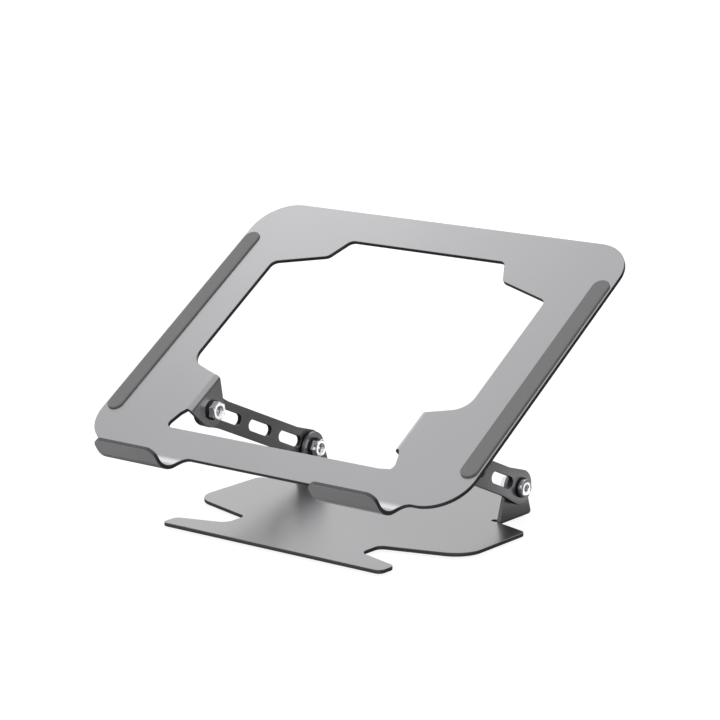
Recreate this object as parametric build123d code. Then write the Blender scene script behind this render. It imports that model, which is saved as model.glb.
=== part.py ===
from build123d import *
from math import cos, radians, sin, tan
import os

# Folding laptop stand: a base plate and a tray plate, both cut and folded from
# sheet, joined by two slotted arms on four friction pivots.
# Millimetres, +X right, +Y to the rear, +Z up, z = 0 on the desk,
# x = 0 in the plane of symmetry, y = 0 half-way along the open stand.

# Pose in which the stand is modelled
TRAY_TILT = 32.6            # tray above the horizontal, degrees
ARM_RISE = 23.7             # arm above the horizontal, degrees

# Pivots
ARM_LENGTH = 104.0          # between the two pivot axes of an arm
EAR_OUTER_X = 76.3          # outer face of every ear, from the middle
BASE_PIVOT_Y = 134.8        # lower axis, behind the base's front edge
BASE_PIVOT_HEIGHT = 18.2    # lower axis, above the base plate's top face
TRAY_PIVOT_V = 50.2         # upper axis, up the tray from its front edge
TRAY_PIVOT_DEPTH = 13.9     # upper axis, below the tray's top face

# Base plate, y measured from its front edge
BASE_SHEET = 2.3
BAR_HALF_WIDTH = 79.8
BAR_REAR_Y = 12.9           # rear edge of the bar at its tips
BAR_FRONT_ROUND = 4.0
BAR_REAR_ROUND = 4.5
EDGE_SLANT = 16.5           # slant of the notch sides and rear corners, degrees
NOTCH_ROOT_X = 49.3
NOTCH_ROOT_Y = 39.0         # rear corner of the notch root
NOTCH_FRONT_ROUND = 7.0
NOTCH_REAR_ROUND = 5.0
LOBE_HALF_WIDTH = 99.4
LOBE_FRONT_ROUND = 18.0
LOBE_REAR_ROUND = 5.0
BASE_RELIEF_WIDTH = 4.4     # slot that frees the ear for folding
BASE_RELIEF_REACH = 6.6     # how far the slot runs in from the ear's face
BASE_RELIEF_ROUND = 1.9
BASE_EAR_GAP = 0.6          # between the lobe and the ear's front edge
BASE_EAR_HALF_FOOT = 15.8
BASE_EAR_RADIUS = 9.5
TONGUE_HALF_WIDTH = 62.0    # rear of the plate, behind the ears
TONGUE_LENGTH = 26.4
TONGUE_ROOT_ROUND = 3.0
TONGUE_CORNER_ROUND = 22.0

# Tray plate, u across and v up the tray from its front edge
TRAY_SHEET = 2.5
TRAY_HALF_WIDTH = 135.0
TRAY_LENGTH = 214.5
TRAY_CORNER_ROUND = 25.2
WINDOW_FRONT_V = 20.2
WINDOW_REAR_V = 189.5
WINDOW_REAR_HALF = 56.3
WINDOW_STEP_U = 64.1
WINDOW_STEP_V = 173.9
WINDOW_HALF_WIDTH = 100.0
WINDOW_FRONT_HALF = 83.0
WINDOW_SHOULDER_V = 73.5
WINDOW_SMALL_ROUND = 5.0
WINDOW_SHOULDER_ROUND = 12.5
WINDOW_FRONT_ROUND = 4.0
TRAY_EAR_FRONT = 14.2       # front end of the ear's fold, ahead of the axis
TRAY_EAR_REAR = 15.8        # rear end of it, behind the axis
TRAY_EAR_RADIUS = 10.5
TRAY_RELIEF_U = 79.2        # outer end of the notch that frees the ear
TRAY_RELIEF_DROP = 3.6      # how far the notch starts ahead of the ear
TRAY_RELIEF_ROUND = 1.0
FOLD_INNER_RADIUS = 0.5

# Front hooks
HOOK_MIDDLE_U = 78.2
HOOK_HALF_WIDTH = 23.0
HOOK_INNER_RADIUS = 12.3
HOOK_START = 1.4            # flat sheet ahead of the tray's front edge
HOOK_HEIGHT = 20.5          # lip above the tray's top face
HOOK_ROOT_ROUND = 7.0
HOOK_CORNER_ROUND = 6.0

# Arms
ARM_SHEET = 3.0
ARM_HALF_WIDTH = 8.5
ARM_END_RADIUS = 10.3
ARM_FLARE = 16.5            # from the pivot to where the flare starts
SLOT_COUNT = 3
SLOT_PITCH = 30.7
SLOT_LENGTH = 22.5
SLOT_WIDTH = 7.0

# Fasteners of each pivot
BOLT_DIAMETER = 6.0
BORE_CLEARANCE = 0.08       # radial, in every hole that the bolt passes
WASHER_DIAMETER = 12.0
WASHER_THICKNESS = 1.0
HEAD_DIAMETER = 10.8
HEAD_HEIGHT = 2.6
SOCKET_FLATS = 4.0
SOCKET_DEPTH = 1.8
NUT_FLATS = 10.0
NUT_HEIGHT = 4.6
BOLT_RECESS = 2.0           # bolt end below the nut's outer face
HEX_SIDES = 6

# Silicone pads on the tray and feet under the base
PAD_WIDTH = 10.7
PAD_LENGTH = 159.6
PAD_THICKNESS = 1.2
PAD_EDGE_BREAK = 0.4
PAD_INSET = 6.95            # pad's middle line, from the tray's side edge
PAD_FRONT_V = 25.3
FOOT_LENGTH = 26.0
FOOT_WIDTH = 9.0
FOOT_THICKNESS = 1.2
FRONT_FOOT_X = 58.0
FRONT_FOOT_INSET = 10.7     # middle of a foot, from the plate's front or rear edge
REAR_FOOT_X = 45.0
REAR_FOOT_INSET = 17.0

# Places that follow from the sizes above
BASE_TOP_Z = FOOT_THICKNESS + BASE_SHEET
LOWER_Z = BASE_TOP_Z + BASE_PIVOT_HEIGHT
RISE, TILT, SLANT = radians(ARM_RISE), radians(TRAY_TILT), tan(radians(EDGE_SLANT))
UPPER_FROM_LOWER_Y = -ARM_LENGTH * cos(RISE)
UPPER_Z = LOWER_Z + ARM_LENGTH * sin(RISE)
BORE_RADIUS = BOLT_DIAMETER / 2 + BORE_CLEARANCE
TRAY_EAR_INNER_X = EAR_OUTER_X - TRAY_SHEET
BASE_EAR_INNER_X = EAR_OUTER_X - BASE_SHEET
ARM_INNER_X = EAR_OUTER_X + WASHER_THICKNESS
ARM_OUTER_X = ARM_INNER_X + ARM_SHEET
HEAD_SEAT_X = ARM_OUTER_X + WASHER_THICKNESS
TRAY_FOLD_U = EAR_OUTER_X + FOLD_INNER_RADIUS
BASE_FOLD_X = BASE_EAR_INNER_X - FOLD_INNER_RADIUS
BASE_LENGTH = BASE_PIVOT_Y + BASE_EAR_HALF_FOOT + TONGUE_LENGTH
PAD_MIDDLE_U = TRAY_HALF_WIDTH - PAD_INSET
HOOK_OUTER_RADIUS = HOOK_INNER_RADIUS + TRAY_SHEET
HOOK_REACH = HOOK_START + HOOK_OUTER_RADIUS


def tray_point_y(v, n):
    """Distance behind the upper axis of a tray point: v up the tray, n above it."""
    return (v - TRAY_PIVOT_V) * cos(TILT) - (n + TRAY_PIVOT_DEPTH) * sin(TILT)


REACH_FRONT = UPPER_FROM_LOWER_Y + tray_point_y(-HOOK_REACH, HOOK_HEIGHT)
TRAY_REACH_REAR = UPPER_FROM_LOWER_Y + tray_point_y(TRAY_LENGTH, -TRAY_SHEET)
REACH_REAR = max(TRAY_REACH_REAR, BASE_LENGTH - BASE_PIVOT_Y)
LOWER_Y = -(REACH_FRONT + REACH_REAR) / 2
UPPER_Y = LOWER_Y + UPPER_FROM_LOWER_Y
BASE_FRONT_Y = LOWER_Y - BASE_PIVOT_Y

TRAY_PLACE = Pos(0, UPPER_Y, UPPER_Z) * Rot(TRAY_TILT, 0, 0) * Pos(0, -TRAY_PIVOT_V, TRAY_PIVOT_DEPTH)
BASE_PLACE = Pos(0, BASE_FRONT_Y, FOOT_THICKNESS)


def rounded_face(corners):
    """Face inside a closed polyline whose corners are (x, y, radius)."""
    points = [(x, y) for x, y, _ in corners]
    radii = [radius for _, _, radius in corners]
    return make_face(FilletPolyline(*points, radius=radii, close=True).edges())


def both_halves(right_half):
    """Closed outline from its right half, listed from front to rear."""
    left_half = [(-x, y, radius) for x, y, radius in reversed(right_half)]
    return right_half + left_half


def side_plane(x, y, z, angle=0.0):
    """Plane square to X at a point; its own x axis points rearwards, raised by angle."""
    turn = radians(angle)
    return Plane(origin=(x, y, z), x_dir=(0, cos(turn), sin(turn)), z_dir=(1, 0, 0))


def mirrored(part):
    return mirror(part, about=Plane.YZ)


def ear_face(root, front, rear, pivot, radius):
    """Ear flattened into its own plane: straight through the fold, then tangent to a round end."""
    neck = Line((-front, root), (rear, root))
    end = Pos(0, pivot) * Circle(radius)
    foot_of_ear = Pos((rear - front) / 2, root / 2) * Rectangle(front + rear, root)
    return make_hull(neck.edges() + end.edges()) + foot_of_ear


def folded_ear(sheet, front, rear, pivot, radius):
    """Ear folded up from a sheet that lies at x < 0, z 0 to sheet; y runs along the fold."""
    fold_end = sheet + FOLD_INNER_RADIUS
    top = pivot + radius
    quarter = Pos(fold_end / 2, fold_end / 2) * Rectangle(fold_end, fold_end)
    bend = Pos(0, fold_end) * (Circle(fold_end) - Circle(FOLD_INNER_RADIUS)) & quarter
    wall = Pos(FOLD_INNER_RADIUS + sheet / 2, (fold_end + top) / 2) * Rectangle(sheet, top - fold_end)
    strip = Pos(0, rear, 0) * extrude(Plane.XZ * (bend + wall), front + rear)
    side = side_plane(0, 0, 0)
    ear = strip & extrude(side * ear_face(fold_end, front, rear, pivot, radius), fold_end)
    return ear - extrude(side * (Pos(0, pivot) * Circle(BORE_RADIUS)), fold_end)


def base_outline():
    """Flat base plate from its front edge, with the notches for the folded pivots."""
    ear_front = BASE_PIVOT_Y - BASE_EAR_HALF_FOOT
    ear_rear = BASE_PIVOT_Y + BASE_EAR_HALF_FOOT
    relief_front = ear_front - BASE_EAR_GAP
    relief_rear = relief_front + BASE_RELIEF_WIDTH
    relief_x = EAR_OUTER_X - BASE_RELIEF_REACH
    notch_front_y = BAR_REAR_Y + (BAR_HALF_WIDTH - NOTCH_ROOT_X) * SLANT
    lobe_front_y = NOTCH_ROOT_Y + (LOBE_HALF_WIDTH - NOTCH_ROOT_X) * SLANT
    lobe_rear_y = relief_front - (LOBE_HALF_WIDTH - EAR_OUTER_X) * SLANT
    half = [
        (BAR_HALF_WIDTH, 0, BAR_FRONT_ROUND),
        (BAR_HALF_WIDTH, BAR_REAR_Y, BAR_REAR_ROUND),
        (NOTCH_ROOT_X, notch_front_y, NOTCH_FRONT_ROUND),
        (NOTCH_ROOT_X, NOTCH_ROOT_Y, NOTCH_REAR_ROUND),
        (LOBE_HALF_WIDTH, lobe_front_y, LOBE_FRONT_ROUND),
        (LOBE_HALF_WIDTH, lobe_rear_y, LOBE_REAR_ROUND),
        (EAR_OUTER_X, relief_front, 0),
        (relief_x, relief_front, BASE_RELIEF_ROUND),
        (relief_x, relief_rear, BASE_RELIEF_ROUND),
        (BASE_FOLD_X, relief_rear, 0),
        (BASE_FOLD_X, ear_rear, 0),
        (TONGUE_HALF_WIDTH, ear_rear, TONGUE_ROOT_ROUND),
        (TONGUE_HALF_WIDTH, BASE_LENGTH, TONGUE_CORNER_ROUND),
    ]
    return rounded_face(both_halves(half))


def base_plate():
    """One sheet: bar, notches, lobes, rear tongue and the two ears folded up beside it."""
    pivot = BASE_SHEET + BASE_PIVOT_HEIGHT
    ear = folded_ear(BASE_SHEET, BASE_EAR_HALF_FOOT, BASE_EAR_HALF_FOOT, pivot, BASE_EAR_RADIUS)
    ear = Pos(BASE_FOLD_X, BASE_PIVOT_Y, 0) * ear
    sheet = extrude(base_outline(), BASE_SHEET)
    return BASE_PLACE * (sheet + ear + mirrored(ear))


def tray_outline():
    """Outer edge of the flat tray."""
    size = Rectangle(2 * TRAY_HALF_WIDTH, TRAY_LENGTH)
    size = fillet(size.vertices(), TRAY_CORNER_ROUND)
    return Pos(0, TRAY_LENGTH / 2) * size


def window_outline():
    """Opening of the tray; the ears fold down from its straight lower sides."""
    ear_front = TRAY_PIVOT_V - TRAY_EAR_FRONT
    ear_rear = TRAY_PIVOT_V + TRAY_EAR_REAR
    shoulder_drop = (WINDOW_HALF_WIDTH - WINDOW_STEP_U) * SLANT
    half = [
        (WINDOW_FRONT_HALF, WINDOW_FRONT_V, WINDOW_FRONT_ROUND),
        (TRAY_RELIEF_U, ear_front - TRAY_RELIEF_DROP, TRAY_RELIEF_ROUND),
        (TRAY_FOLD_U, ear_front, 0),
        (TRAY_FOLD_U, ear_rear, 0),
        (WINDOW_HALF_WIDTH, WINDOW_SHOULDER_V, WINDOW_SHOULDER_ROUND),
        (WINDOW_HALF_WIDTH, WINDOW_STEP_V - shoulder_drop, WINDOW_SMALL_ROUND),
        (WINDOW_STEP_U, WINDOW_STEP_V, WINDOW_SMALL_ROUND),
        (WINDOW_REAR_HALF, WINDOW_REAR_V, WINDOW_SMALL_ROUND),
    ]
    return rounded_face(both_halves(half))


def hook_section():
    """Hook seen from the side: flat start, quarter round, straight lip."""
    bend_centre = (-HOOK_START, HOOK_INNER_RADIUS)
    ring = Circle(HOOK_OUTER_RADIUS) - Circle(HOOK_INNER_RADIUS)
    quadrant = Pos(-HOOK_OUTER_RADIUS / 2, -HOOK_OUTER_RADIUS / 2)
    ring = ring & (quadrant * Rectangle(HOOK_OUTER_RADIUS, HOOK_OUTER_RADIUS))
    flat = Pos(-HOOK_START / 2, -TRAY_SHEET / 2) * Rectangle(HOOK_START, TRAY_SHEET)
    lip_height = HOOK_HEIGHT - HOOK_INNER_RADIUS
    lip = Pos(-HOOK_REACH + TRAY_SHEET / 2, HOOK_INNER_RADIUS + lip_height / 2)
    lip = lip * Rectangle(TRAY_SHEET, lip_height)
    return Pos(*bend_centre) * ring + flat + lip


def hook_plan():
    """Hook seen from above the tray: straight sides, wide rounded roots."""
    root_half = HOOK_HALF_WIDTH + 2 * HOOK_ROOT_ROUND
    corners = [
        (root_half, 0, 0),
        (HOOK_HALF_WIDTH, 0, HOOK_ROOT_ROUND),
        (HOOK_HALF_WIDTH, -HOOK_REACH, 0),
        (-HOOK_HALF_WIDTH, -HOOK_REACH, 0),
        (-HOOK_HALF_WIDTH, 0, HOOK_ROOT_ROUND),
        (-root_half, 0, 0),
        (-root_half, HOOK_START, 0),
        (root_half, HOOK_START, 0),
    ]
    return rounded_face(corners)


def hook():
    """Right front hook, rolled up from a tab on the tray's front edge."""
    root_half = HOOK_HALF_WIDTH + 2 * HOOK_ROOT_ROUND
    rolled = extrude(side_plane(0, 0, 0) * hook_section(), root_half, both=True)
    plan = Pos(0, 0, -TRAY_SHEET) * extrude(hook_plan(), TRAY_SHEET + HOOK_HEIGHT)
    tab = rolled & plan
    corners = tab.edges().filter_by(Axis.Y).group_by(Axis.Z)[-1]
    return Pos(HOOK_MIDDLE_U, 0, 0) * fillet(corners, HOOK_CORNER_ROUND)


def tray_plate():
    """One sheet: frame with its window, two ears folded down, two hooks rolled up."""
    ear = folded_ear(TRAY_SHEET, TRAY_EAR_FRONT, TRAY_EAR_REAR, TRAY_PIVOT_DEPTH, TRAY_EAR_RADIUS)
    ear = Pos(TRAY_FOLD_U, TRAY_PIVOT_V, 0) * Rot(0, 180, 0) * ear
    hook_right = hook()
    flat = tray_outline() - window_outline()
    sheet = Pos(0, 0, -TRAY_SHEET) * extrude(flat, TRAY_SHEET)
    return TRAY_PLACE * (sheet + ear + mirrored(ear) + hook_right + mirrored(hook_right))


def arm_end():
    """Round end of an arm with flanks running tangent to the straight part."""
    neck = Line((ARM_FLARE, -ARM_HALF_WIDTH), (ARM_FLARE, ARM_HALF_WIDTH))
    return make_hull(Circle(ARM_END_RADIUS).edges() + neck.edges())


def arm_face():
    """Arm seen from the side, from the upper pivot along x to the lower one."""
    end = arm_end()
    bar = Pos(ARM_LENGTH / 2, 0) * Rectangle(ARM_LENGTH - 2 * ARM_FLARE, 2 * ARM_HALF_WIDTH)
    face = bar + end + Pos(ARM_LENGTH, 0) * Rot(0, 0, 180) * end
    for i in range(SLOT_COUNT):
        place = ARM_LENGTH / 2 + (i - (SLOT_COUNT - 1) / 2) * SLOT_PITCH
        face -= Pos(place, 0) * SlotOverall(SLOT_LENGTH, SLOT_WIDTH)
    for place in (0, ARM_LENGTH):
        face -= Pos(place, 0) * Circle(BORE_RADIUS)
    return face


def right_arm():
    plane = side_plane(ARM_INNER_X, UPPER_Y, UPPER_Z, -ARM_RISE)
    return extrude(plane * arm_face(), ARM_SHEET)


def hexagon(flats):
    return RegularPolygon(flats / 2, HEX_SIDES, major_radius=False)


def ring(radius, thickness):
    """Flat washer lying on its axis Z."""
    return extrude(Circle(radius) - Circle(BORE_RADIUS), thickness)


def bolt(shank):
    """Bolt with a wide flat head and a hexagon socket; the head starts at z = shank."""
    body = extrude(Circle(BOLT_DIAMETER / 2), shank)
    head = extrude(Circle(HEAD_DIAMETER / 2), HEAD_HEIGHT)
    socket = extrude(hexagon(SOCKET_FLATS), SOCKET_DEPTH)
    return body + Pos(0, 0, shank) * head - Pos(0, 0, shank + HEAD_HEIGHT - SOCKET_DEPTH) * socket


def nut():
    """Hexagon nut, from z = 0."""
    return extrude(hexagon(NUT_FLATS) - Circle(BORE_RADIUS), NUT_HEIGHT)


def pivot_pieces(level, y, z, ear_inner_x, turn):
    """Right-hand fasteners of one pivot, from the bolt head inwards."""
    washer = ring(WASHER_DIAMETER / 2, WASHER_THICKNESS)
    nut_washer_x = ear_inner_x - WASHER_THICKNESS
    nut_x = nut_washer_x - NUT_HEIGHT
    bolt_end_x = nut_x + BOLT_RECESS
    return {
        f"{level}_bolt": side_plane(bolt_end_x, y, z, turn) * bolt(HEAD_SEAT_X - bolt_end_x),
        f"{level}_head_washer": side_plane(ARM_OUTER_X, y, z) * washer,
        f"{level}_friction_washer": side_plane(EAR_OUTER_X, y, z) * washer,
        f"{level}_nut_washer": side_plane(nut_washer_x, y, z) * washer,
        f"{level}_nut": side_plane(nut_x, y, z, turn) * nut(),
    }


def tray_pad():
    """Right silicone strip on the tray, with round ends and an eased top edge."""
    outline = Rot(0, 0, 90) * SlotOverall(PAD_LENGTH, PAD_WIDTH)
    strip = extrude(outline, PAD_THICKNESS)
    strip = chamfer(strip.edges().group_by(Axis.Z)[-1], PAD_EDGE_BREAK)
    return TRAY_PLACE * Pos(PAD_MIDDLE_U, PAD_FRONT_V + PAD_LENGTH / 2, 0) * strip


def foot(x, y):
    """Right silicone strip glued under the base, cut square from a band."""
    return Pos(x, BASE_FRONT_Y + y, 0) * extrude(Rectangle(FOOT_LENGTH, FOOT_WIDTH), FOOT_THICKNESS)


def build_parts():
    right_hand = {
        "arm": right_arm(),
        "pad": tray_pad(),
        "front_foot": foot(FRONT_FOOT_X, FRONT_FOOT_INSET),
        "rear_foot": foot(REAR_FOOT_X, BASE_LENGTH - REAR_FOOT_INSET),
        **pivot_pieces("lower", LOWER_Y, LOWER_Z, BASE_EAR_INNER_X, 0),
        **pivot_pieces("upper", UPPER_Y, UPPER_Z, TRAY_EAR_INNER_X, TRAY_TILT),
    }
    parts = {"base_plate": base_plate(), "tray_plate": tray_plate()}
    for name, part in right_hand.items():
        parts[f"right_{name}"] = part
        parts[f"left_{name}"] = mirrored(part)
    return parts


PARTS = build_parts()
os.makedirs("parts", exist_ok=True)
for node, solid in PARTS.items():
    export_step(solid, f"parts/{node}.step")
    print(node, len(solid.solids()), round(solid.volume, 2))
print("lower pivot", round(LOWER_Y, 4), round(LOWER_Z, 4))
print("upper pivot", round(UPPER_Y, 4), round(UPPER_Z, 4))
print("base front edge", round(BASE_FRONT_Y, 4), "base top", round(BASE_TOP_Z, 4))
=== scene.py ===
from math import cos, pi, radians, sin, tan

import bmesh
import bpy
import numpy as np
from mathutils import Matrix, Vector
from mathutils.bvhtree import BVHTree


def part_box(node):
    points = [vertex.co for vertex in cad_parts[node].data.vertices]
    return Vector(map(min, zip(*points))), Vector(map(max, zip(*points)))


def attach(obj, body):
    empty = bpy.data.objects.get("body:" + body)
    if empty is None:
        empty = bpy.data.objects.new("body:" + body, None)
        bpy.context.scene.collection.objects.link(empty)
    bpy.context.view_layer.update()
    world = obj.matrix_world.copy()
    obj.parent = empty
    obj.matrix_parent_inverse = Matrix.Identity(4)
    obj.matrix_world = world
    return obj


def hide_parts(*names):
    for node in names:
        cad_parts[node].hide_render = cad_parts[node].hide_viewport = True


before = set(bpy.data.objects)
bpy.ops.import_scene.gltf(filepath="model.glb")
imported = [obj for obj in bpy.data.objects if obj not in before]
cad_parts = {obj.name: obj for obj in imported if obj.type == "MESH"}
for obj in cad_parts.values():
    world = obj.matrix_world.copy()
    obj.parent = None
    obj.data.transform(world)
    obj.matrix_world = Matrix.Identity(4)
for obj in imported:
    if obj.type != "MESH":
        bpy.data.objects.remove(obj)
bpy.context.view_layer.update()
scene = bpy.context.scene


# Base plate
# One piece of 2.3 mm aluminium sheet, laser cut, with its two rear ears folded up. It is blasted
# with glass beads and clear anodised, so its faces are satin and its cut edges duller. Its colour is
# a shade darker than the tray's, as painted shade, and its cut edges are darker still, as painted
# shade.

MM = 0.001
SHARP_EDGE = radians(35)


def linear(hex_colour):
    """An sRGB hex colour as linear RGBA: each channel is (c + 0.055) / 1.055 to the power 2.4."""
    channels = np.array([int(hex_colour[i:i + 2], 16) for i in (1, 3, 5)]) / 255
    low = channels / 12.92
    high = ((channels + 0.055) / 1.055) ** 2.4
    return [*np.where(channels <= 0.04045, low, high).tolist(), 1.0]


def add_node(owner, kind, inputs=None, **settings):
    """Adds a node with its settings; an input is a value, or another node's output to link."""
    node = owner.node_tree.nodes.new(kind)
    for name, value in settings.items():
        setattr(node, name, value)
    for socket, value in (inputs or {}).items():
        if isinstance(value, bpy.types.NodeSocket):
            owner.node_tree.links.new(value, node.inputs[socket])
        else:
            node.inputs[socket].default_value = value
    return node


def new_finish(name, colour, metallic, roughness, ior=1.5):
    """A material with its Principled shader; returns both."""
    material = bpy.data.materials.new(name)
    material.use_nodes = True
    shader = material.node_tree.nodes["Principled BSDF"]
    shader.inputs["Base Color"].default_value = linear(colour)
    shader.inputs["Metallic"].default_value = metallic
    shader.inputs["Roughness"].default_value = roughness
    shader.inputs["IOR"].default_value = ior
    return material, shader


def blasted_anodised(name, light, dark, smooth, rough):
    """Blasted and clear anodised aluminium: satin and even. The bead grain is about 0.1 mm, too fine
    to show, so its gloss is drawn faintly at 1.2 mm, and the shade drifts a little over 80 mm."""
    grain_size = 1.2 * MM
    drift_size = 80 * MM
    material, shader = new_finish(name, light, metallic=0.95, roughness=rough)
    place = add_node(material, "ShaderNodeTexCoord").outputs["Object"]
    grain = add_node(
        material,
        "ShaderNodeTexNoise",
        {"Vector": place, "Scale": 1 / (2 * grain_size), "Detail": 2.0},
    ).outputs["Fac"]
    drift = add_node(
        material,
        "ShaderNodeTexNoise",
        {"Vector": place, "Scale": 1 / drift_size, "Detail": 1.0},
    ).outputs["Fac"]
    shade = add_node(
        material,
        "ShaderNodeMix",
        {0: drift, 6: linear(dark), 7: linear(light)},
        data_type="RGBA",
    ).outputs[2]
    gloss = add_node(
        material,
        "ShaderNodeMapRange",
        {"Value": grain, "From Min": 0.3, "From Max": 0.7, "To Min": smooth, "To Max": rough},
    ).outputs["Result"]
    for output, socket in ((shade, "Base Color"), (gloss, "Roughness")):
        material.node_tree.links.new(output, shader.inputs[socket])
    return material


def cut_edge_with_painted_shade(name, light, dark):
    """The same anodised metal where the laser cut it: rougher, and darker as painted shade. The cut's
    grain is about 0.1 mm, too fine to show, so it is drawn at 0.4 mm."""
    grain_size = 0.4 * MM
    material, shader = new_finish(name, light, metallic=0.95, roughness=0.4)
    place = add_node(material, "ShaderNodeTexCoord").outputs["Object"]
    grain = add_node(
        material,
        "ShaderNodeTexNoise",
        {"Vector": place, "Scale": 1 / (2 * grain_size), "Detail": 3.0},
    ).outputs["Fac"]
    shade = add_node(
        material,
        "ShaderNodeMix",
        {0: grain, 6: linear(dark), 7: linear(light)},
        data_type="RGBA",
    ).outputs[2]
    bump = add_node(
        material,
        "ShaderNodeBump",
        {"Height": grain, "Strength": 0.25, "Distance": 0.03 * MM},
    ).outputs["Normal"]
    for output, socket in ((shade, "Base Color"), (bump, "Normal")):
        material.node_tree.links.new(output, shader.inputs[socket])
    return material


def joined(node):
    """A CAD node's triangles as one bmesh, with the corners that they share made one."""
    same_corner = 0.002 * MM
    form = bmesh.new()
    form.from_mesh(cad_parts[node].data)
    bmesh.ops.remove_doubles(form, verts=form.verts, dist=same_corner)
    form.normal_update()
    for face in form.faces:
        face.smooth = True
        face.material_index = 0
    return form


def mark_cut_edges(form, sheet):
    """Gives finish 1 to each face that has metal behind it deeper than the sheet is thick, measured
    at its middle and half way to its corners."""
    just_inside = 0.02 * MM
    through_the_sheet = 1.3 * sheet
    endless = 1.0
    tree = BVHTree.FromBMesh(form)
    for face in form.faces:
        middle = face.calc_center_median()
        places = [middle, *(middle.lerp(corner.co, 0.5) for corner in face.verts)]
        inwards = -face.normal
        hits = [tree.ray_cast(place + inwards * just_inside, inwards) for place in places]
        depths = [distance or endless for _, _, _, distance in hits]
        face.material_index = int(np.median(depths) > through_the_sheet)


def place_piece(name, mesh, body, nodes, slot, *finishes):
    """Puts a mesh into the scene as a piece that rides on a body in place of its CAD nodes."""
    for finish in finishes:
        mesh.materials.append(finish)
    piece = bpy.data.objects.new(name, mesh)
    scene.collection.objects.link(piece)
    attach(piece, body)
    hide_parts(*nodes)
    return piece


def eased_copy(name, form, width, body, node, slot, *finishes):
    """Makes a bmesh a piece: flat areas become single faces, and a bevel rounds each sharp edge."""
    bmesh.ops.dissolve_limit(
        form, angle_limit=radians(0.5), verts=form.verts, edges=form.edges, delimit={"MATERIAL"}
    )
    mesh = bpy.data.meshes.new(name)
    form.to_mesh(mesh)
    form.free()
    mesh.set_sharp_from_angle(angle=SHARP_EDGE)
    piece = place_piece(name, mesh, body, [node], slot, *finishes)
    bevel = piece.modifiers.new("rounded_edges", "BEVEL")
    bevel.width = width
    bevel.segments = 2
    bevel.limit_method = "ANGLE"
    bevel.angle_limit = SHARP_EDGE
    bevel.use_clamp_overlap = False
    bevel.loop_slide = False
    flatten = piece.modifiers.new("flat_areas_shade_flat", "WEIGHTED_NORMAL")
    flatten.keep_sharp = True
    return piece


BASE_SHEET = 2.3 * MM
EDGE_ROUND = 0.3 * MM
# Painted shade: the base colour is a shade darker than the tray's, and its cut edges darker still.
base_finish = blasted_anodised("blasted_anodised_base", "#9B9B9D", "#959597", smooth=0.278, rough=0.282)
base_edge = cut_edge_with_painted_shade("cut_base_edge_painted_shade", "#7A7A7C", "#666668")
base_form = joined("base_plate")
mark_cut_edges(base_form, BASE_SHEET)
eased_copy(
    "folded_base_sheet",
    base_form,
    EDGE_ROUND,
    "base",
    "base_plate",
    "base_sheet",
    base_finish,
    base_edge,
)


# Tray plate
# One piece of 2.5 mm sheet with a stepped window. Its ears are folded down and its two hooks rolled
# up from tabs. It is blasted and anodised like the base; its colour is a shade lighter, as painted
# light, and its cut edges are much darker, as painted shade.

TRAY_SHEET = 2.5 * MM
# Painted light: the tray colour is a shade lighter than the base's. Painted shade: its cut edges are
# much darker.
tray_finish = blasted_anodised("blasted_anodised_tray", "#A5A5A7", "#9F9FA1", smooth=0.278, rough=0.282)
tray_edge = cut_edge_with_painted_shade("cut_tray_edge_painted_shade", "#5E5E60", "#4A4A4C")
tray_form = joined("tray_plate")
mark_cut_edges(tray_form, TRAY_SHEET)
eased_copy(
    "folded_tray_sheet",
    tray_form,
    EDGE_ROUND,
    "tray",
    "tray_plate",
    "tray_sheet",
    tray_finish,
    tray_edge,
)


# Arms
# Flat 3 mm bars with three long holes each, clamped outside the ears by the pivots. They are cut,
# blasted and anodised like the sheets; their colour is a little darker, as painted shade, and their
# cut edges are much darker, also painted shade.

ARM_SHEET = 3.0 * MM
# Painted shade: the bar colour is a little darker than the sheets', and its cut edges are much darker.
arm_finish = blasted_anodised("blasted_anodised_bar", "#929294", "#8C8C8E", smooth=0.32, rough=0.34)
arm_edge = cut_edge_with_painted_shade("cut_bar_edge_painted_shade", "#303032", "#222224")
for side in ("left", "right"):
    arm = f"{side}_arm"
    arm_form = joined(arm)
    mark_cut_edges(arm_form, ARM_SHEET)
    eased_copy(
        f"{side}_slotted_bar", arm_form, EDGE_ROUND, arm, arm, "arm_sheet", arm_finish, arm_edge
    )


# Pads and feet
# Die-cut silicone strips with adhesive backs, two on the tray and four under the base. The rubber
# is matte and darker than the sheet that it sticks to.

def die_cut_silicone(name, light, dark):
    """Matte silicone: a fine moulded grain of about 0.5 mm, and a soft, wide highlight."""
    grain_size = 0.5 * MM
    material, shader = new_finish(name, light, metallic=0.0, roughness=0.6, ior=1.41)
    place = add_node(material, "ShaderNodeTexCoord").outputs["Object"]
    grain = add_node(
        material,
        "ShaderNodeTexNoise",
        {"Vector": place, "Scale": 1 / (2 * grain_size), "Detail": 3.0},
    ).outputs["Fac"]
    shade = add_node(
        material,
        "ShaderNodeMix",
        {0: grain, 6: linear(dark), 7: linear(light)},
        data_type="RGBA",
    ).outputs[2]
    bump = add_node(
        material,
        "ShaderNodeBump",
        {"Height": grain, "Strength": 0.25, "Distance": 0.04 * MM},
    ).outputs["Normal"]
    for output, socket in ((shade, "Base Color"), (bump, "Normal")):
        material.node_tree.links.new(output, shader.inputs[socket])
    return material


STRIP_ROUND = 0.15 * MM
silicone = die_cut_silicone("die_cut_silicone", "#919191", "#898989")
for side in ("left", "right"):
    pad = f"{side}_pad"
    eased_copy(f"{side}_tray_strip", joined(pad), STRIP_ROUND, "tray", pad, "tray_pads", silicone)
    for end in ("front", "rear"):
        foot = f"{side}_{end}_foot"
        eased_copy(f"{side}_{end}_strip", joined(foot), STRIP_ROUND, "base", foot, "feet", silicone)


# Washers
# Twelve flat 12 mm rings, one under each bolt head, one under each nut, and one that slips between
# each ear and its arm. They are stamped from steel and blackened.

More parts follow.
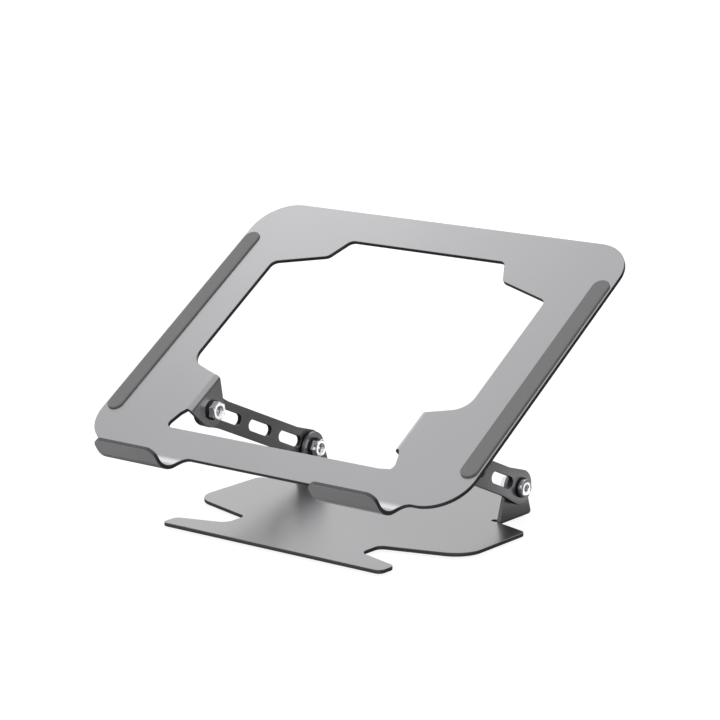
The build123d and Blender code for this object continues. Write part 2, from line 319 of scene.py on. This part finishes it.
def black_oxide(name, light, dark):
    """Black oxide on stamped steel: a dull blue-black that turns patchy over a few millimetres."""
    patch_size = 2 * MM
    material, shader = new_finish(name, light, metallic=0.3, roughness=0.45)
    place = add_node(material, "ShaderNodeTexCoord").outputs["Object"]
    patch = add_node(
        material,
        "ShaderNodeTexNoise",
        {"Vector": place, "Scale": 1 / patch_size, "Detail": 4.0},
    ).outputs["Fac"]
    shade = add_node(
        material,
        "ShaderNodeMix",
        {0: patch, 6: linear(dark), 7: linear(light)},
        data_type="RGBA",
    ).outputs[2]
    material.node_tree.links.new(shade, shader.inputs["Base Color"])
    return material


TRAY_TILT = radians(32.6)
PIVOTS = {
    f"{side}_{level}": (body, side, turn)
    for side in ("left", "right")
    for level, body, turn in (("lower", "base", 0.0), ("upper", "upper_pivots", TRAY_TILT))
}
WASHER_ROUND = 0.12 * MM
blackened = black_oxide("black_oxide_steel", "#242427", "#161618")
for pivot, (body, side, turn) in PIVOTS.items():
    for kind in ("head", "friction", "nut"):
        washer = f"{pivot}_{kind}_washer"
        ring = f"{pivot}_{kind}_ring"
        eased_copy(ring, joined(washer), WASHER_ROUND, body, washer, "washers", blackened)


# Bolts
# Four M6 bolts, turned from steel and nickel plated. The head is wide and flat with a shallow bevel
# round its face, and a hexagon socket is pressed into it.

COLUMNS = 96
ANGLES = np.arange(COLUMNS) * 2 * pi / COLUMNS


def hexagon(flats):
    """Radius of a hexagon at every angle: its half width over the cosine of the angle from the
    middle of the nearest flat."""
    from_flat = np.mod(ANGLES, pi / 3) - pi / 6
    return flats / 2 / np.cos(from_flat)


def turned_mesh(name, rows, side, place, turn, closed):
    """Surface round an axis along X: each row is (distance outwards along x, radius), either of
    them one number or one for every angle, and its points are (x, y + r cos a, z + r sin a). The
    rows run round in a loop, or start and end at a point on the axis. The attribute along_profile
    holds the length from the first row, in metres."""
    same_point = 0.001 * MM
    crease = radians(20)
    x = np.array([np.broadcast_to(row[0], COLUMNS) for row in rows])
    r = np.array([np.broadcast_to(row[1], COLUMNS) for row in rows])
    steps = np.hypot(np.diff(x, axis=0), np.diff(r, axis=0)).mean(axis=1)
    along = np.repeat(np.concatenate([[0], np.cumsum(steps)]), COLUMNS)
    a = ANGLES + turn
    outwards = 1 if side == "right" else -1
    points = np.stack([outwards * x, place[1] + r * np.cos(a), place[2] + r * np.sin(a)], axis=-1)
    grid = np.arange(x.size).reshape(x.shape)
    start = grid if closed else grid[:-1]
    after = np.roll(grid, -1, axis=0) if closed else grid[1:]
    quads = np.stack([start, np.roll(start, -1, 1), np.roll(after, -1, 1), after], axis=-1)
    mesh = bpy.data.meshes.new(name)
    mesh.from_pydata(points.reshape(-1, 3).tolist(), [], quads.reshape(-1, 4).tolist())
    mesh.attributes.new("along_profile", "FLOAT", "POINT").data.foreach_set("value", along)
    form = bmesh.new()
    form.from_mesh(mesh)
    bmesh.ops.remove_doubles(form, verts=form.verts, dist=same_point)
    bmesh.ops.recalc_face_normals(form, faces=form.faces)
    for face in form.faces:
        face.smooth = True
    form.to_mesh(mesh)
    form.free()
    mesh.set_sharp_from_angle(angle=crease)
    return mesh


def bolt_rows(end, seat, face):
    """Profile of a bolt from the socket's conical floor out over the head and in along the shank.
    The socket's wall ends where it meets a 45 degree cone at its mouth."""
    socket, mouth = hexagon(4.0 * MM), 2.5 * MM
    floor, cone, floor_round = face - 2.2 * MM, 1.1 * MM, 0.05 * MM
    rim, rim_round = 5.4 * MM, 0.3 * MM
    bevel_start, bevel_drop = 4.7 * MM, 0.1 * MM
    seat_round = 0.2 * MM
    shank, lead_in = 3.0 * MM, 0.7 * MM
    tip, tip_round = 2.3 * MM, 0.15 * MM
    tip_face = 1.5 * MM
    return [
        (floor - cone, 0.0),
        (floor, socket - floor_round),
        (floor + floor_round, socket),
        (face - mouth + socket, socket),
        (face, mouth),
        (face, bevel_start),
        *[
            (face - bevel_drop - rim_round * (1 - cos(t)), rim - rim_round * (1 - sin(t)))
            for t in np.linspace(0, pi / 2, 6)
        ],
        (seat + seat_round, rim),
        (seat, rim - seat_round),
        (seat, shank),
        (end + lead_in, shank),
        (end + tip_round, tip),
        (end, tip_face),
        (end, 0.0),
    ]


def nickel_plate(name, light, dark):
    """Bright nickel on turned steel: close to a mirror, with turning marks round the axis. They
    are about 0.1 mm apart, and drawn at 0.3 mm."""
    mark_size = 0.3 * MM
    material, shader = new_finish(name, light, metallic=1.0, roughness=0.1)
    along = add_node(material, "ShaderNodeAttribute", attribute_name="along_profile").outputs["Fac"]
    marks = add_node(
        material,
        "ShaderNodeTexNoise",
        {"W": along, "Scale": 1 / (2 * mark_size), "Detail": 2.0},
        noise_dimensions="1D",
    ).outputs["Fac"]
    shade = add_node(
        material,
        "ShaderNodeMix",
        {0: marks, 6: linear(dark), 7: linear(light)},
        data_type="RGBA",
    ).outputs[2]
    bump = add_node(
        material,
        "ShaderNodeBump",
        {"Height": marks, "Strength": 0.1, "Distance": 0.01 * MM},
    ).outputs["Normal"]
    for output, socket in ((shade, "Base Color"), (bump, "Normal")):
        material.node_tree.links.new(output, shader.inputs[socket])
    return material


def extent(node, side):
    """Nearest and furthest distance of a node from the middle plane, and the middle of its box."""
    low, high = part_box(node)
    near, far = (low[0], high[0]) if side == "right" else (-high[0], -low[0])
    return near, far, (low + high) / 2


HEAD_HEIGHT = 2.6 * MM
nickel = nickel_plate("bright_nickel_plate", "#F0F0F2", "#DEDEE0")
for pivot, (body, side, turn) in PIVOTS.items():
    bolt = f"{pivot}_socket_bolt"
    end, face, place = extent(f"{pivot}_bolt", side)
    rows = bolt_rows(end, face - HEAD_HEIGHT, face)
    mesh = turned_mesh(bolt, rows, side, place, turn, closed=False)
    place_piece(bolt, mesh, body, [f"{pivot}_bolt"], "bolts", nickel)


# Nuts
# Four M6 hexagon nuts, 10 mm across flats, pressed, tapped and nickel plated. A 30 degree chamfer
# trims the corners on both faces, and the bolt stops inside the thread.

def nut_rows(inner, outer):
    """Profile of a nut as a loop: down the thread, out over the washer side, along the flats and in
    over the free face. The chamfer cone meets each flat in a curve, where the cone's radius, which
    is the face ring plus depth / tan 30, equals the hexagon's. The thread is a ridge that
    winds once per pitch: its height follows the depth over the pitch less the angle's turns."""
    flats, face_ring = hexagon(10.0 * MM), 4.75 * MM
    chamfer = (flats - face_ring) * tan(radians(30))
    bore, mouth = 3.06 * MM, 0.3 * MM
    pitch, ridge = 1.0 * MM, 0.4 * MM
    first, last, run_out = 0.3 * MM, 2.6 * MM, 0.4 * MM
    depths = np.linspace(0.35, 2.6, 28)[:, None] * MM
    wound = np.abs(np.mod(depths / pitch - ANGLES / (2 * pi), 1.0) * 2 - 1)
    fade = np.clip((depths - first) / run_out, 0, 1) * np.clip((last - depths) / run_out, 0, 1)
    thread = bore - ridge * wound * fade
    return [
        (inner, bore + mouth),
        *[(inner + depth, radius) for depth, radius in zip(depths[:, 0], thread)],
        (outer - mouth, bore),
        (outer, bore + mouth),
        (outer, face_ring),
        (outer - chamfer, flats),
        (inner + chamfer, flats),
        (inner, face_ring),
    ]


for pivot, (body, side, turn) in PIVOTS.items():
    nut = f"{pivot}_hexagon_nut"
    inner, outer, place = extent(f"{pivot}_nut", side)
    mesh = turned_mesh(nut, nut_rows(inner, outer), side, place, turn, closed=True)
    place_piece(nut, mesh, body, [f"{pivot}_nut"], "nuts", nickel)


# Floor
# A plain sweep that is white to the camera and in the metal beyond the cards that lie on it, and
# keeps the stand's shadow.

def seen_directly(owner):
    """Output that is 1 for camera, glossy and transmission rays, and 0 for the rest."""
    path = add_node(owner, "ShaderNodeLightPath")
    seen = path.outputs["Is Camera Ray"]
    for kind in ("Is Glossy Ray", "Is Transmission Ray"):
        rays = {0: seen, 1: path.outputs[kind]}
        seen = add_node(owner, "ShaderNodeMath", rays, operation="MAXIMUM").outputs[0]
    return seen


def card(name, corners, faces, material):
    """A card of flat faces between corners given in metres."""
    mesh = bpy.data.meshes.new(name)
    mesh.from_pydata(np.array(corners).tolist(), [], faces)
    mesh.materials.append(material)
    board = bpy.data.objects.new(name, mesh)
    scene.collection.objects.link(board)
    return board


floor_glow = 0.9
floor_white, floor_shader = new_finish("white_sweep", "#949494", metallic=0.0, roughness=0.9)
floor_shader.inputs["Emission Color"].default_value = linear("#FFFFFF")
glow = add_node(
    floor_white, "ShaderNodeMath", {0: seen_directly(floor_white), 1: floor_glow}, operation="MULTIPLY"
).outputs[0]
floor_white.node_tree.links.new(glow, floor_shader.inputs["Emission Strength"])
reach = 6.0
card(
    "floor",
    [(-reach, -reach, 0), (reach, -reach, 0), (reach, reach, 0), (-reach, reach, 0)],
    [(0, 1, 2, 3)],
    floor_white,
)


# Studio light
# A bright even room, white to the camera and in the metal, with one large soft lamp high up behind
# the left of the stand. Grey cards on the table darken what its upright and lower faces mirror,
# and small white ones among them brighten the bolts and nuts; all are seen in reflections alone.

def studio_room(strength):
    """World of plain white for what is seen directly or mirrored, and dimmer as a light."""
    world = bpy.data.worlds.new("studio_room")
    world.use_nodes = True
    scene.world = world
    background = world.node_tree.nodes["Background"]
    background.inputs["Color"].default_value = linear("#FFFFFF")
    level = add_node(
        world, "ShaderNodeMapRange", {"Value": seen_directly(world), "To Min": strength, "To Max": 1.0}
    ).outputs["Result"]
    world.node_tree.links.new(level, background.inputs["Strength"])


def soft_lamp(name, place, target, size, power):
    """A square area lamp at a place in metres, facing a target point."""
    data = bpy.data.lights.new(name, "AREA")
    data.shape = "SQUARE"
    data.size = size
    data.energy = power
    lamp = bpy.data.objects.new(name, data)
    scene.collection.objects.link(lamp)
    lamp.location = place
    lamp.rotation_euler = (Vector(target) - Vector(place)).to_track_quat("-Z", "Y").to_euler()
    return lamp


def mirrored_card(name, corners, faces, material):
    """A card that is seen only in reflections."""
    board = card(name, corners, faces, material)
    board.visible_camera = False
    board.visible_diffuse = False
    board.visible_shadow = False
    board.visible_transmission = False


def lying_card(name, middle, half_length, half_width, turn, lift, material):
    """A rectangular card that lies at a height round a middle (x, y), turned about the vertical."""
    along = np.array([cos(turn), sin(turn), 0]) * half_length
    across = np.array([-sin(turn), cos(turn), 0]) * half_width
    centre = np.array([*middle, lift])
    near, far = centre - across, centre + across
    corners = [near - along, near + along, far + along, far - along]
    mirrored_card(name, corners, [(0, 1, 2, 3)], material)


studio_room(0.6)
soft_lamp("rear_softbox", (-2.3, 1.6, 2.3), (0, 0, 0), 1.9, 14)

grey_card, _ = new_finish("grey_card", "#969696", metallic=0.0, roughness=0.9)
light_card, _ = new_finish("light_card", "#DCDCDC", metallic=0.0, roughness=0.9)
white_card, white_shader = new_finish("white_chip", "#F0F0F0", metallic=0.0, roughness=0.9)
white_shader.inputs["Emission Color"].default_value = linear("#FFFFFF")
white_shader.inputs["Emission Strength"].default_value = 0.9

# The grey card lies under all, the light one in front, and an L of grey stands behind the right.
lying_card("table_card", (0, 0.05), 0.6, 0.55, 0, 0.4 * MM, grey_card)
lying_card("front_card", (0, -0.19), 0.3, 0.11, 0, 0.7 * MM, light_card)
lower = [(0.6, -0.1, 0), (0.6, 0.6, 0), (0.05, 0.6, 0)]
upper = [(x, y, 0.3) for x, y, _ in lower]
mirrored_card("rear_card", lower + upper, [(0, 3, 4, 1), (1, 4, 5, 2)], grey_card)

# Where the camera sees the floor mirrored in the right lower bolt, the left lower nut and the left
# upper nut: x, y and half the card's length along the line of sight.
mirror_spots = [(0.129, 0.130, 36 * MM), (-0.016, 0.130, 22 * MM), (0.102, 0.166, 32 * MM)]
for number, (x, y, half) in enumerate(mirror_spots):
    lying_card(f"chip_{number}", (x, y), half, 0.35 * half, radians(52), 1.0 * MM, white_card)


# Camera
# It looks from the front right, a little above the stand, with a long lens.

camera_data = bpy.data.cameras.new("camera")
camera_data.lens = 140.1
camera_data.sensor_width = 36.0
camera = bpy.data.objects.new("camera", camera_data)
camera.location = np.array([968.58, -1238.80, 451.24]) * MM
camera.rotation_euler = [radians(77.338), 0.0, radians(37.7095)]
scene.collection.objects.link(camera)
scene.camera = camera
scene.view_settings.view_transform = "Standard"
